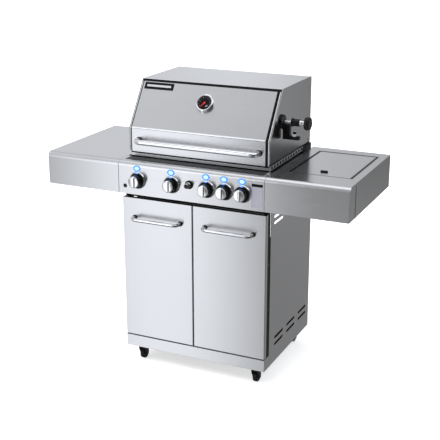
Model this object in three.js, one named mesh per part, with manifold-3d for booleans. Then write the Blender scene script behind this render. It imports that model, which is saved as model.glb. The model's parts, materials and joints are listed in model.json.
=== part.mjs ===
// A four-burner gas barbecue grill with a side burner, on a two-door cabinet with casters.
// Millimetres, +Z up, +X to the viewer's right, -Y to the front.
// The origin is on the floor, in the middle of the outer box.
import * as THREE from 'three';
import { mergeVertices } from 'three/addons/utils/BufferGeometryUtils.js';
import Module from 'manifold-3d';

const wasm = await Module();
wasm.setup();

// Driving dimensions
const HALF_WIDTH = 660;
const CABINET_HALF = 320;
const REAR = 296;
const CABINET_BOTTOM = 75;
const SHELF_BOTTOM = 769;
const SHELF_TOP = 906;
const TOTAL_HEIGHT = 1209;
const GAP = 0.3;
const SHEET = 2;

// Cabinet
const SIDE_FRONT = -174;
const DOOR_FRONT = -225;
const DOOR_BACK = -205;
const DOOR_BOTTOM = 131;
const DOOR_TOP = 745;
const DOOR_GAP = 1.5;
const RAIL_TOP = 129;
const POST_FRONT = -201;
const POST_WIDTH = 18;
const BACK_PANEL_TOP = 470;
const HANDLE_Z = 662;
const HANDLE_HALF = 105;
const HANDLE_OFFSET = 33;
const HANDLE_RADIUS = 7.5;
const DOOR_CENTRE = 160;

// Vents in the side panels: rows of slots
const VENT_LENGTH = 98;
const VENT_HEIGHT = 11;
const LOW_VENT_ROWS = [154, 184];
const LOW_VENT_CENTRES = [-67.5, 71.5, 210.5];
const HIGH_VENT_ROWS = [690, 716];
const HIGH_VENT_CENTRE = -89;

// Control panel and shelves
const PANEL_FRONT = -251;
const PANEL_BACK = -168;
const PANEL_HALF = 320.5;
const SHELF_INNER = 321;
const NOSE_RADIUS = 22;
const NOSE_STEPS = 10;
const KNOB_Z = 832;
const MAIN_KNOBS = [-231, -77, 77, 231];
const SIDE_KNOB = 154;
const KNOB_FACE = -296;
const KNOB_BACK = -268;
const GRIP_DEPTH = 6;
const GRIP_HALF = 6;
const KNOB_RADIUS = 25;
const BEZEL_RADIUS = 36;
const BEZEL_FRONT = -262;
const STEM_RADIUS = 4;
const IGNITER_Z = 840;
const LIGHT_BUTTON = { x: -291, z: 802, radius: 7.5 };

// Firebox and what it holds
const FIREBOX = { half: 306, front: -165, back: 240, bottom: 775, top: 926 };
const LEDGE_Z = 893;
const LEDGE_WIDTH = 15;
const BURNER_RADIUS = 14;
const BURNER_FRONT = -183;
const BURNER_BACK = 222;
const RACK = { front: 80, back: 221, half: 301, z: 1004, wire: 6 };

// Side burner
const WELL = { x0: 390, x1: 606, y0: -111, y1: 220, bottom: 826 };
const BURNER_LID = { x0: 378, x1: 618, y0: -123, y1: 232, bottom: 893, top: 905, seam: 2.4 };

// Lid
const LID_BOTTOM = 929;
const LID_FRONT = -173;
const LID_FOLD = 1028;
const LID_TOP_FRONT = -49;
const LID_BACK = 284;
const LID_HALF = 310;
const END_THICKNESS = 3;
const LID_HANDLE = { half: 265, y: -211.5, z: 978, radius: 10.5 };
const GAUGE_Z = 1136;
const GAUGE_RADIUS = 40;
const SPIT = { y: -52, z: 1084 };
const LID_HINGE = { y: 258, z: 946 };

// Casters
const CASTER_X = 266;
const CASTER_FRONT = -185;
const CASTER_REAR = 240;
const CASTER_TRAIL = 14;
const WHEEL_RADIUS = 24;
const WHEEL_WIDTH = 22;
const CASTER_PLATE = { half: 19, bottom: 71 };

const material = (color, roughness, metalness) =>
  new THREE.MeshStandardMaterial({ color, roughness, metalness });
const STEEL = material(0xc4c6c9, 0.35, 1);
const STEEL_DARK = material(0x77787c, 0.45, 1);
const CHROME = material(0xe8eaee, 0.08, 1);
const BLACK = material(0x17171a, 0.5, 0.2);
const IRON = material(0x26262a, 0.7, 0.6);
const PLASTIC = material(0x101012, 0.4, 0);
const BRASS = material(0xb9975b, 0.35, 1);
const RED = material(0xc21f1a, 0.5, 0);

const grill = new THREE.Group();

function addPart(name, geometry, partMaterial) {
  const mesh = new THREE.Mesh(geometry, partMaterial);
  mesh.name = name;
  grill.add(mesh);
  return mesh;
}

// Shapes. Every function returns a closed BufferGeometry in place.

function box(x0, x1, y0, y1, z0, z1) {
  const geometry = new THREE.BoxGeometry(x1 - x0, y1 - y0, z1 - z0);
  return geometry.translate((x0 + x1) / 2, (y0 + y1) / 2, (z0 + z1) / 2);
}

function mirrorX(x0, x1, side) {
  return side > 0 ? [x0, x1] : [-x1, -x0];
}

function sidedBox(side, x0, x1, y0, y1, z0, z1) {
  return box(...mirrorX(x0, x1, side), y0, y1, z0, z1);
}

// Turns a shape drawn along local +Z so that it points along X, Y or Z.
// Drawn across: local (x, y) becomes (y, z) for X, (z, x) for Y and (x, y) for Z.
function pointAlong(geometry, axis) {
  const basis = new THREE.Matrix4();
  const [ex, ey, ez] = ['x', 'y', 'z'].map((_, i) => new THREE.Vector3().setComponent(i, 1));
  if (axis === 'x') basis.makeBasis(ey, ez, ex);
  if (axis === 'y') basis.makeBasis(ez, ex, ey);
  return geometry.applyMatrix4(basis);
}

function prism(shape, start, end, axis, curveSegments = 6) {
  const options = { depth: end - start, bevelEnabled: false, curveSegments };
  const geometry = new THREE.ExtrudeGeometry(shape, options).translate(0, 0, start);
  return pointAlong(geometry, axis);
}

function rod(radius, start, end, axis, sides = 12) {
  const geometry = new THREE.CylinderGeometry(radius, radius, end - start, sides);
  geometry.rotateX(Math.PI / 2).translate(0, 0, (start + end) / 2);
  return pointAlong(geometry, axis);
}

// profile holds [radius, height] pairs; the height runs along the axis.
function turned(profile, axis, sides = 16) {
  const points = profile.map(([radius, height]) => new THREE.Vector2(radius, height));
  const geometry = new THREE.LatheGeometry(points, sides).rotateX(Math.PI / 2);
  return pointAlong(geometry, axis);
}

// A bar handle along X: two feet on the plane y = foot, the bar at y = bar.
function barHandle({ centre, half, foot, bar, z, radius, bend, steps }) {
  const at = (x, y) => new THREE.Vector3(centre + x, y, z);
  const inward = bend * Math.sign(foot - bar);
  const path = new THREE.CurvePath();
  path.add(new THREE.LineCurve3(at(-half, foot), at(-half, bar + inward)));
  const corner = (from, middle, to) => path.add(new THREE.QuadraticBezierCurve3(from, middle, to));
  corner(at(-half, bar + inward), at(-half, bar), at(bend - half, bar));
  path.add(new THREE.LineCurve3(at(bend - half, bar), at(half - bend, bar)));
  corner(at(half - bend, bar), at(half, bar), at(half, bar + inward));
  path.add(new THREE.LineCurve3(at(half, bar + inward), at(half, foot)));
  const section = new THREE.Shape().absarc(0, 0, radius, 0, 2 * Math.PI);
  return new THREE.ExtrudeGeometry(section, { steps, extrudePath: path, curveSegments: 4 });
}

// Joins and cuts

function solid(geometry) {
  const bare = geometry.clone();
  bare.deleteAttribute('normal');
  bare.deleteAttribute('uv');
  const merged = mergeVertices(bare, 1e-4);
  return new wasm.Manifold(new wasm.Mesh({
    numProp: 3,
    vertProperties: new Float32Array(merged.attributes.position.array),
    triVerts: new Uint32Array(merged.index.array),
  }));
}

function fromSolid(result) {
  const { vertProperties, triVerts } = result.getMesh();
  const geometry = new THREE.BufferGeometry();
  geometry.setAttribute('position', new THREE.BufferAttribute(new Float32Array(vertProperties), 3));
  geometry.setIndex(new THREE.BufferAttribute(new Uint32Array(triVerts), 1));
  return geometry;
}

function join(geometries) {
  return fromSolid(geometries.map(solid).reduce((all, one) => all.add(one)));
}

function cut(geometry, holes) {
  return fromSolid(holes.map(solid).reduce((rest, hole) => rest.subtract(hole), solid(geometry)));
}

// A slot with round ends, along Y, through a panel that stands across X
function slotAcrossX(x0, x1, y, z, length, height) {
  const reach = length / 2 - height / 2;
  const shape = new THREE.Shape();
  shape.absarc(y + reach, z, height / 2, -Math.PI / 2, Math.PI / 2);
  shape.absarc(y - reach, z, height / 2, Math.PI / 2, 1.5 * Math.PI);
  return prism(shape, x0, x1, 'x', 2);
}

// The side view of a folded sheet with a rounded front top edge, open at the back
function noseProfile(inset, back, bottom) {
  const front = PANEL_FRONT + inset;
  const top = SHELF_TOP - inset;
  const radius = NOSE_RADIUS - inset;
  const shape = new THREE.Shape();
  shape.moveTo(front, bottom);
  shape.lineTo(back, bottom);
  shape.lineTo(back, top);
  shape.lineTo(front + radius, top);
  shape.absarc(front + radius, top - radius, radius, Math.PI / 2, Math.PI);
  return shape;
}

// Cabinet

function makeCabinet() {
  const inner = CABINET_HALF - SHEET - GAP;
  const base = [box(-inner, inner, SIDE_FRONT + GAP, REAR - SHEET - GAP,
    CABINET_BOTTOM, CABINET_BOTTOM + SHEET)];
  const { half, bottom } = CASTER_PLATE;
  for (const [x, y] of casterPlaces().map(({ place }) => place)) {
    const weld = y + half - 7;
    base.push(box(x - half, x + half, y - half, y + half, bottom, CABINET_BOTTOM - GAP));
    base.push(box(x - half, x + half, weld, y + half, bottom + 1, CABINET_BOTTOM + 1));
  }
  addPart('base_panel', join(base), STEEL_DARK);
  const back = box(-inner, inner, REAR - SHEET, REAR, CABINET_BOTTOM, BACK_PANEL_TOP);
  addPart('back_panel', back, STEEL);
  for (const [name, side] of [['left_side_panel', -1], ['right_side_panel', 1]]) {
    addPart(name, sidePanel(side), STEEL);
  }
  const rail = box(-CABINET_HALF, CABINET_HALF, DOOR_FRONT, SIDE_FRONT - GAP, CABINET_BOTTOM, RAIL_TOP);
  const channel = box(SHEET - CABINET_HALF, CABINET_HALF - SHEET, DOOR_FRONT + SHEET, SIDE_FRONT + 1,
    CABINET_BOTTOM + SHEET, RAIL_TOP - SHEET);
  addPart('lower_front_rail', cut(rail, [channel]), STEEL);
  addPart('cabinet_frame', cabinetFrame(), BLACK);
}

function sidePanel(side) {
  const top = SHELF_BOTTOM - GAP;
  const panel = sidedBox(side, CABINET_HALF - SHEET, CABINET_HALF, SIDE_FRONT, REAR, CABINET_BOTTOM, top);
  const [x0, x1] = mirrorX(CABINET_HALF - 5, CABINET_HALF + 5, side);
  const slots = LOW_VENT_ROWS.flatMap((z) =>
    LOW_VENT_CENTRES.map((y) => slotAcrossX(x0, x1, y, z, VENT_LENGTH, VENT_HEIGHT)));
  for (const z of HIGH_VENT_ROWS) {
    slots.push(slotAcrossX(x0, x1, HIGH_VENT_CENTRE, z, VENT_LENGTH, VENT_HEIGHT));
  }
  return cut(panel, slots);
}

// Two door posts, the bar over the doors and the two rails that carry the drip tray
function cabinetFrame() {
  const outer = CABINET_HALF - SHEET - GAP;
  const inner = outer - POST_WIDTH;
  const back = SIDE_FRONT - GAP;
  const pieces = [box(-outer, outer, POST_FRONT, back, DOOR_TOP, SHELF_BOTTOM - GAP)];
  for (const side of [-1, 1]) {
    pieces.push(sidedBox(side, inner, outer, POST_FRONT, back, RAIL_TOP + GAP, DOOR_TOP + 5));
    pieces.push(sidedBox(side, inner, outer, back - 5, REAR - 4, DOOR_TOP, DOOR_TOP + 17));
  }
  return join(pieces);
}

function makeDoors() {
  for (const [name, side] of [['left_door', -1], ['right_door', 1]]) {
    const [x0, x1] = mirrorX(DOOR_GAP, CABINET_HALF, side);
    const door = box(x0, x1, DOOR_FRONT, DOOR_BACK, DOOR_BOTTOM, DOOR_TOP);
    const hollow = box(x0 + SHEET, x1 - SHEET, DOOR_FRONT + SHEET, DOOR_BACK - SHEET,
      DOOR_BOTTOM + SHEET, DOOR_TOP - SHEET);
    const middle = (x0 + x1) / 2;
    const drain = box(middle - 20, middle + 20, DOOR_BACK - 4, DOOR_BACK + 1,
      DOOR_BOTTOM + 12, DOOR_BOTTOM + 20);
    addPart(name, cut(door, [hollow, drain]), STEEL);
    addPart(`${name}_handle`, barHandle({
      centre: side * DOOR_CENTRE, half: HANDLE_HALF, foot: DOOR_FRONT - GAP, z: HANDLE_Z,
      bar: DOOR_FRONT - HANDLE_OFFSET, radius: HANDLE_RADIUS, bend: 20, steps: 18,
    }), CHROME);
  }
}

// Drip tray: an open tray whose two side lips hang on the frame's rails
function dripTray() {
  const lip = DOOR_TOP + 17 + GAP;
  const half = 285;
  const pieces = [
    box(-half, half, -168, 288, lip - 38, lip + SHEET),
    box(-half - 22, half + 22, -168, 288, lip, lip + SHEET),
    box(-60, 60, 288, 290, lip - 24, lip + SHEET),
  ];
  const inside = box(SHEET - half, half - SHEET, SHEET - 168, 288 - SHEET, lip - 38 + SHEET, lip + 5);
  return cut(join(pieces), [inside]);
}

// Control panel, knobs and buttons

function controlPanel() {
  const outer = prism(noseProfile(0, PANEL_BACK, SHELF_BOTTOM), -PANEL_HALF, PANEL_HALF, 'x', NOSE_STEPS);
  const inside = prism(noseProfile(SHEET, PANEL_BACK + 1, SHELF_BOTTOM + SHEET),
    -PANEL_HALF - 1, PANEL_HALF + 1, 'x', NOSE_STEPS);
  const underside = box(-PANEL_HALF - 1, PANEL_HALF + 1, -204, PANEL_BACK + 1,
    SHELF_BOTTOM - 1, SHELF_BOTTOM + SHEET + 1);
  const hole = (radius, x, z) => rod(radius, -260, -240, 'y').translate(x, 0, z);
  const holes = [...MAIN_KNOBS, SIDE_KNOB].map((x) => hole(10, x, KNOB_Z));
  holes.push(hole(13, 0, IGNITER_Z), hole(LIGHT_BUTTON.radius + 0.5, LIGHT_BUTTON.x, LIGHT_BUTTON.z));
  return cut(outer, [inside, underside, ...holes]);
}

function bezel() {
  const back = PANEL_FRONT - GAP;
  return turned([[8, back], [8, BEZEL_FRONT], [BEZEL_RADIUS - 10, BEZEL_FRONT],
    [BEZEL_RADIUS - 5, BEZEL_FRONT + 1.5], [BEZEL_RADIUS, back - 3], [BEZEL_RADIUS, back], [8, back]],
  'y', 16);
}

function knob() {
  const face = KNOB_FACE + GRIP_DEPTH;
  const body = turned([[0, face], [KNOB_RADIUS - 2, face], [KNOB_RADIUS, KNOB_BACK - 5],
    [KNOB_RADIUS, KNOB_BACK], [KNOB_RADIUS - 3, KNOB_BACK], [KNOB_RADIUS - 3, face + 6],
    [8, face + 6], [8, KNOB_BACK], [STEM_RADIUS + GAP, KNOB_BACK], [STEM_RADIUS + GAP, face + 2],
    [0, face + 2]], 'y', 16);
  const grip = box(-GRIP_HALF, GRIP_HALF, KNOB_FACE, face + 1, 4 - KNOB_RADIUS, KNOB_RADIUS - 4);
  return join([body, grip]);
}

function makeKnobs() {
  const names = ['burner_1', 'burner_2', 'burner_3', 'burner_4', 'side_burner'];
  [...MAIN_KNOBS, SIDE_KNOB].forEach((x, i) => {
    const stem = rod(STEM_RADIUS, KNOB_FACE + GRIP_DEPTH + 3, -217, 'y', 8);
    addPart(`${names[i]}_bezel`, bezel(), CHROME).position.set(x, 0, KNOB_Z);
    addPart(`${names[i]}_valve_stem`, stem, BRASS).position.set(x, 0, KNOB_Z);
    addPart(`${names[i]}_knob`, knob(), CHROME).position.set(x, 0, KNOB_Z);
  });
  const cap = turned([[0, -280], [8.5, -280], [10, -278.5], [10, -263], [12, -261], [12, -232],
    [0, -232]], 'y', 12);
  addPart('igniter_button', cap, STEEL_DARK).position.set(0, 0, IGNITER_Z);
  const light = rod(LIGHT_BUTTON.radius, -254.5, -240, 'y', 12);
  addPart('light_button', light, PLASTIC).position.set(LIGHT_BUTTON.x, 0, LIGHT_BUTTON.z);
}

// A gas pipe along X with a valve body behind each knob and a nozzle for each main burner
function gasManifold() {
  const pipe = rod(9, -262, 262, 'x', 8).translate(0, -209, KNOB_Z - 24);
  const pieces = [pipe, rod(12, 262, 284, 'x', 6).translate(0, -209, KNOB_Z - 24)];
  for (const x of [...MAIN_KNOBS, SIDE_KNOB]) {
    pieces.push(box(x - 13, x + 13, -223, -197, KNOB_Z - 22, KNOB_Z + 13));
  }
  for (const x of MAIN_KNOBS) {
    pieces.push(rod(4, -198, BURNER_FRONT - 2, 'y', 6).translate(x, 0, KNOB_Z));
  }
  const bores = [...MAIN_KNOBS, SIDE_KNOB].map((x) =>
    rod(STEM_RADIUS + 1, -225, -206, 'y', 8).translate(x, 0, KNOB_Z));
  return cut(join(pieces), bores);
}

// Firebox: an open steel box with a ledge for the grates, a grease hole and side vents.
// Its side walls rise at the back as two wings, which hold the warming rack and the lid's hinge pins.
function firebox() {
  const { half, front, back, bottom, top } = FIREBOX;
  const wall = 3;
  const ledge = half - wall - LEDGE_WIDTH;
  const holes = [
    box(-half + wall, half - wall, front + wall, back - wall, LEDGE_Z, top + 1),
    box(-ledge, ledge, front + wall + LEDGE_WIDTH, back - wall - LEDGE_WIDTH, LEDGE_Z - 5, LEDGE_Z + 1),
    box(-half + wall, half - wall, front + wall, back - wall, bottom + wall, LEDGE_Z - wall),
    rod(30, bottom - 1, bottom + wall + 1, 'z', 16).translate(0, (front + back) / 2, 0),
  ];
  for (const x of MAIN_KNOBS) {
    holes.push(rod(BURNER_RADIUS + 2, front - 1, front + wall + 1, 'y', 10).translate(x, 0, KNOB_Z));
  }
  for (let y = front + 35; y < back - 40; y += 50) {
    for (const side of [-1, 1]) {
      holes.push(sidedBox(side, half - wall - 1, half + 1, y, y + 34, 912, 918));
    }
  }
  const tub = cut(box(-half, half, front, back, bottom, top), holes);
  const { y, z } = LID_HINGE;
  const wings = [-1, 1].flatMap((side) => [
    sidedBox(side, half - wall, half, RACK.front - 8, back, top - 8, RACK.z - GAP),
    ...[RACK.front, RACK.back - 10].map((tab) =>
      sidedBox(side, half - wall - 9, half - 1, tab, tab + 10, RACK.z - GAP - 4, RACK.z - GAP)),
    sidedBox(side, half - wall, half, back - 18, y + 8, z - 10, z + 10),
    rod(4, ...mirrorX(half - 1, LID_HALF - GAP, side), 'x', 8).translate(0, y, z),
  ]);
  return join([tub, ...wings]);
}

// A tube burner with an open air inlet at its front end
function burner() {
  const tube = rod(BURNER_RADIUS, BURNER_FRONT, BURNER_BACK, 'y', 10);
  return cut(tube, [rod(BURNER_RADIUS - 2, BURNER_FRONT - 1, BURNER_BACK - 3, 'y', 10)]);
}

// Four roof-shaped heat tents over the burners, joined by two carrier bars
function flameTamers() {
  const roof = new THREE.Shape();
  const [low, high, half] = [852, 878, 34];
  roof.moveTo(low, -half);
  roof.lineTo(high, 0);
  roof.lineTo(low, half);
  roof.lineTo(low, half - 3);
  roof.lineTo(high - 2.5, 0);
  roof.lineTo(low, 3 - half);
  const tents = MAIN_KNOBS.map((x) => prism(roof, -130, 205, 'y').translate(x, 0, 0));
  const bars = [-120, 192].map((y) => box(-285, 285, y, y + 3, low - 4, low + 6));
  return join([...tents, ...bars]);
}

// One cast grate: bars along Y on three cross bars
function grate(side) {
  const [x0, x1] = mirrorX(1.5, 288, side);
  const [y0, y1] = [FIREBOX.front + 7, FIREBOX.back - 7];
  const z = LEDGE_Z + GAP;
  const count = 11;
  const pitch = (x1 - x0 - 8) / (count - 1);
  const pieces = [y0, (y0 + y1) / 2 - 5, y1 - 10].map((y) => box(x0, x1, y, y + 10, z, z + 8));
  for (let i = 0; i < count; i += 1) {
    const x = x0 + i * pitch;
    pieces.push(box(x, x + 8, y0, y1, z + 3, z + 11));
  }
  return join(pieces);
}

// Warming rack: a wire shelf above the grates, resting on the tabs of the firebox's wings
function warmingRack() {
  const { front, back, half, z, wire } = RACK;
  const pieces = [front, back - wire].map((y) => box(-half, half, y, y + wire, z, z + wire));
  const count = 15;
  for (let i = 0; i < count; i += 1) {
    const x = -half + 2 + i * ((2 * half - 8) / (count - 1));
    pieces.push(box(x, x + 4, front + 1, back - 1, z + 1, z + wire - 1));
  }
  return join(pieces);
}

// Side shelves

function shelfShell(side) {
  const [x0, x1] = mirrorX(SHELF_INNER, HALF_WIDTH, side);
  const outer = prism(noseProfile(0, REAR, SHELF_BOTTOM), x0, x1, 'x', NOSE_STEPS);
  const inner = noseProfile(SHEET, REAR - SHEET, SHELF_BOTTOM - 1);
  const inside = prism(inner, x0 + SHEET, x1 - SHEET, 'x', NOSE_STEPS);
  return cut(outer, [inside]);
}

function makeShelves() {
  addPart('left_shelf', shelfShell(-1), STEEL);
  const opening = aroundBurnerLid(BURNER_LID.seam, SHELF_TOP - 10, SHELF_TOP + 1);
  addPart('right_shelf', cut(shelfShell(1), [opening]), STEEL);
  addPart('side_burner', sideBurner(), BLACK);
  addPart('side_burner_grate', sideGrate(), IRON);
  addPart('side_burner_lid', sideBurnerLid(), STEEL);
}

// A box around the side burner's lid that stands off its edges by the given margin
function aroundBurnerLid(margin, bottom, top) {
  const { x0, x1, y0, y1 } = BURNER_LID;
  return box(x0 - margin, x1 + margin, y0 - margin, y1 + margin, bottom, top);
}

// A stepped pan that hangs under the shelf's opening, with the burner head in the middle
function sideBurner() {
  const { seam } = BURNER_LID;
  const rim = SHELF_TOP - SHEET - GAP;
  const step = BURNER_LID.bottom - GAP;
  const pieces = [
    aroundBurnerLid(seam + 9, rim - SHEET, rim),
    aroundBurnerLid(seam + SHEET, step - SHEET, rim),
    box(WELL.x0, WELL.x1, WELL.y0, WELL.y1, WELL.bottom, step),
  ];
  const holes = [
    aroundBurnerLid(seam, step, rim + 1),
    box(WELL.x0 + SHEET, WELL.x1 - SHEET, WELL.y0 + SHEET, WELL.y1 - SHEET, WELL.bottom + SHEET, step + 1),
  ];
  const [cx, cy] = [(WELL.x0 + WELL.x1) / 2, (WELL.y0 + WELL.y1) / 2];
  const floor = WELL.bottom + 1;
  const head = turned([[0, floor], [30, floor], [26, floor + 20], [45, floor + 26], [45, floor + 34],
    [38, floor + 39], [0, floor + 39]], 'z', 20);
  return join([cut(join(pieces), holes), head.translate(cx, cy, 0)]);
}

function sideGrate() {
  const [cx, cy] = [(WELL.x0 + WELL.x1) / 2, (WELL.y0 + WELL.y1) / 2];
  const [hx, hy, z] = [98, 150, 873];
  const ring = cut(box(-hx, hx, -hy, hy, z, z + 8), [box(8 - hx, hx - 8, 8 - hy, hy - 8, z - 1, z + 9)]);
  const pieces = [ring];
  for (const x of [-45, 45]) {
    pieces.push(box(x - 4, x + 4, -hy + 2, hy - 2, z, z + 12));
  }
  for (const y of [-75, 0, 75]) {
    pieces.push(box(-hx + 2, hx - 2, y - 4, y + 4, z, z + 8));
  }
  for (const sx of [-1, 1]) {
    for (const sy of [-1, 1]) {
      pieces.push(box(sx * (hx - 4) - 4, sx * (hx - 4) + 4, sy * (hy - 4) - 4, sy * (hy - 4) + 4,
        WELL.bottom + SHEET + GAP, z + 8));
    }
  }
  return join(pieces).translate(cx, cy, 0);
}

// A folded lid that lies flush in the shelf, with a low pull near its front edge
function sideBurnerLid() {
  const { x0, x1, y0, y1, bottom, top } = BURNER_LID;
  const skin = cut(box(x0, x1, y0, y1, bottom, top),
    [box(x0 + SHEET, x1 - SHEET, y0 + SHEET, y1 - SHEET, bottom - 1, top - SHEET)]);
  const pull = box(484, 512, y0 + 43, y0 + 53, top - 1, top + 7);
  return join([skin, pull]);
}

// Lid

function lidProfile(inset, bottom) {
  const shape = new THREE.Shape();
  const slope = Math.atan2(TOTAL_HEIGHT - LID_FOLD, LID_TOP_FRONT - LID_FRONT);
  const foldShift = inset * Math.tan((Math.PI / 2 - slope) / 2);
  const topShift = inset * Math.tan(slope / 2);
  shape.moveTo(LID_FRONT + inset, bottom);
  shape.lineTo(LID_BACK - inset, bottom);
  shape.lineTo(LID_BACK - inset, TOTAL_HEIGHT - inset);
  shape.lineTo(LID_TOP_FRONT + topShift, TOTAL_HEIGHT - inset);
  shape.lineTo(LID_FRONT + inset, LID_FOLD - foldShift);
  return shape;
}

// The place and the outward direction of the thermometer on the sloping front
const gaugePlace = new THREE.Vector3(
  0,
  LID_FRONT + (LID_TOP_FRONT - LID_FRONT) * (GAUGE_Z - LID_FOLD) / (TOTAL_HEIGHT - LID_FOLD),
  GAUGE_Z,
);
const gaugeNormal = new THREE.Vector3(
  0,
  LID_FOLD - TOTAL_HEIGHT,
  LID_TOP_FRONT - LID_FRONT,
).normalize();

// Moves a shape drawn around local +Z to the thermometer's place
function onSlope(geometry) {
  const turn = new THREE.Quaternion().setFromUnitVectors(new THREE.Vector3(0, 0, 1), gaugeNormal);
  geometry.applyQuaternion(turn);
  return geometry.translate(gaugePlace.x, gaugePlace.y, gaugePlace.z);
}

function makeLid() {
  const half = LID_HALF - END_THICKNESS - GAP;
  const outer = prism(lidProfile(0, LID_BOTTOM), -half, half, 'x');
  const inside = prism(lidProfile(SHEET, LID_BOTTOM - 1), -half - 1, half + 1, 'x');
  const probeHole = onSlope(rod(6, -10, 10, 'z', 10));
  addPart('lid_hood', cut(outer, [inside, probeHole]), STEEL);

  const through = (side, radius, { y, z }) =>
    rod(radius, ...mirrorX(half - 5, LID_HALF + 5, side), 'x', 8).translate(0, y, z);
  const end = (side) => prism(lidProfile(0, LID_BOTTOM + 5), ...mirrorX(half + GAP, LID_HALF, side), 'x');
  addPart('lid_left_end', cut(end(-1), [through(-1, 5, LID_HINGE)]), STEEL);
  addPart('lid_right_end', cut(end(1), [through(1, 5, LID_HINGE), through(1, 9, SPIT)]), STEEL);

  addPart('lid_handle', barHandle({
    centre: 0, half: LID_HANDLE.half, foot: LID_FRONT - GAP, bar: LID_HANDLE.y, z: LID_HANDLE.z,
    radius: LID_HANDLE.radius, bend: 24, steps: 34,
  }), CHROME);
}

function makeGauge() {
  const housing = turned([[0, -50], [3.5, -50], [3.5, GAP], [GAUGE_RADIUS, GAP], [GAUGE_RADIUS, 8],
    [GAUGE_RADIUS - 4, 14], [GAUGE_RADIUS - 9, 14], [GAUGE_RADIUS - 10, 9], [0, 9]], 'z', 24);
  addPart('gauge_housing', onSlope(housing), CHROME);
  const needle = new THREE.Shape();
  needle.absarc(0, 0, 4.5, -0.35 * Math.PI, 1.35 * Math.PI);
  needle.lineTo(-0.8, -24);
  needle.lineTo(0.8, -24);
  const lying = prism(needle, 9.6, 11, 'z').rotateZ(-Math.PI / 5);
  addPart('gauge_needle', onSlope(lying), RED);
}

// Rotisserie fitting on the lid's right end: an angle bracket with a bush, and a turning spindle
function makeSpit() {
  const wall = LID_HALF + GAP;
  const { y, z } = SPIT;
  const bush = rod(27.5, wall, wall + 8, 'x', 20).translate(0, y, z);
  const bore = rod(8.5, wall - 1, wall + 10, 'x', 12).translate(0, y, z);
  const strap = (x0, x1, z0, z1) => box(x0, x1, y - 10, y + 10, z0, z1);
  const bracket = [
    strap(wall, 346, 1057, 1074),
    strap(317, 346, 1016, 1074),
    strap(317, 385, 1016, 1029),
    rod(7, 1028, 1048, 'z', 10).translate(364, y, 0),
  ];
  addPart('spit_bracket', cut(join([bush, ...bracket]), [bore]), BLACK);
  const spindle = turned([[0, 286], [7, 286], [7, 347], [11, 348], [11, 350], [17, 351], [17, 358],
    [14, 360], [14, 386], [10, 388], [10, 394], [9, 395], [9, 406], [24, 408], [26, 411], [26, 424],
    [22, 428], [0, 428]], 'x', 12);
  addPart('spit_spindle', spindle.translate(0, y, z), BLACK);
}

// Casters: each has a swivelling fork, under a plate of the base, and a wheel with its axle

function casterFork() {
  const axleRadius = 10;
  const [crownFront, crownBack, crownTop] = [-9, CASTER_TRAIL + axleRadius, 57];
  const cheek = (x) => {
    const shape = new THREE.Shape();
    shape.absarc(CASTER_TRAIL, WHEEL_RADIUS, axleRadius, -Math.PI, 0);
    shape.lineTo(crownBack, crownTop);
    shape.lineTo(crownFront, crownTop);
    shape.lineTo(crownFront, crownTop - 8);
    return prism(shape, x - 2, x + 2, 'x', 3);
  };
  const inner = WHEEL_WIDTH / 2 + 1;
  const pieces = [
    rod(9, crownTop - 1, CASTER_PLATE.bottom - GAP, 'z', 12),
    box(-inner - 4, inner + 4, crownFront, crownBack, crownTop - 6, crownTop),
    cheek(-inner - 2),
    cheek(inner + 2),
  ];
  const axleHoles = rod(4.3, -20, 20, 'x', 8).translate(0, CASTER_TRAIL, WHEEL_RADIUS);
  return cut(join(pieces), [axleHoles]);
}

// The tread has flats, and one of them lies on the floor
function casterWheel() {
  const sides = 18;
  const half = WHEEL_WIDTH / 2;
  const tread = WHEEL_RADIUS / Math.cos(Math.PI / sides);
  const wheel = turned([[0, -15], [3.5, -15], [3.5, -half], [tread, -half], [tread, half],
    [3.5, half], [3.5, 15], [0, 15]], 'x', sides);
  return wheel.rotateX(Math.PI / sides).translate(0, CASTER_TRAIL, WHEEL_RADIUS);
}

function casterPlaces() {
  return [['front', CASTER_FRONT], ['rear', CASTER_REAR]].flatMap(([end, y]) =>
    [['left', -CASTER_X], ['right', CASTER_X]].map(([side, x]) =>
      ({ name: `${end}_${side}`, place: [x, y] })));
}

function makeCasters() {
  for (const { name, place: [x, y] } of casterPlaces()) {
    addPart(`${name}_caster_fork`, casterFork(), PLASTIC).position.set(x, y, 0);
    addPart(`${name}_caster_wheel`, casterWheel(), PLASTIC).position.set(x, y, 0);
  }
}

makeCabinet();
makeDoors();
addPart('drip_tray', dripTray(), STEEL_DARK);
addPart('control_panel', controlPanel(), STEEL);
makeKnobs();
addPart('gas_manifold', gasManifold(), BRASS);
addPart('firebox', firebox(), BLACK);
MAIN_KNOBS.forEach((x, i) => addPart(`burner_${i + 1}`, burner(), STEEL).position.set(x, 0, KNOB_Z));
addPart('flame_tamers', flameTamers(), STEEL_DARK);
addPart('left_grate', grate(-1), IRON);
addPart('right_grate', grate(1), IRON);
addPart('warming_rack', warmingRack(), CHROME);
makeShelves();
makeLid();
makeGauge();
makeSpit();
makeCasters();

export default grill;
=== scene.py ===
"""A gas barbecue grill: the finishes, fine parts, studio light and camera around its CAD frame."""

import json
import math

import bmesh
import bpy
from mathutils import Matrix, Vector


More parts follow.
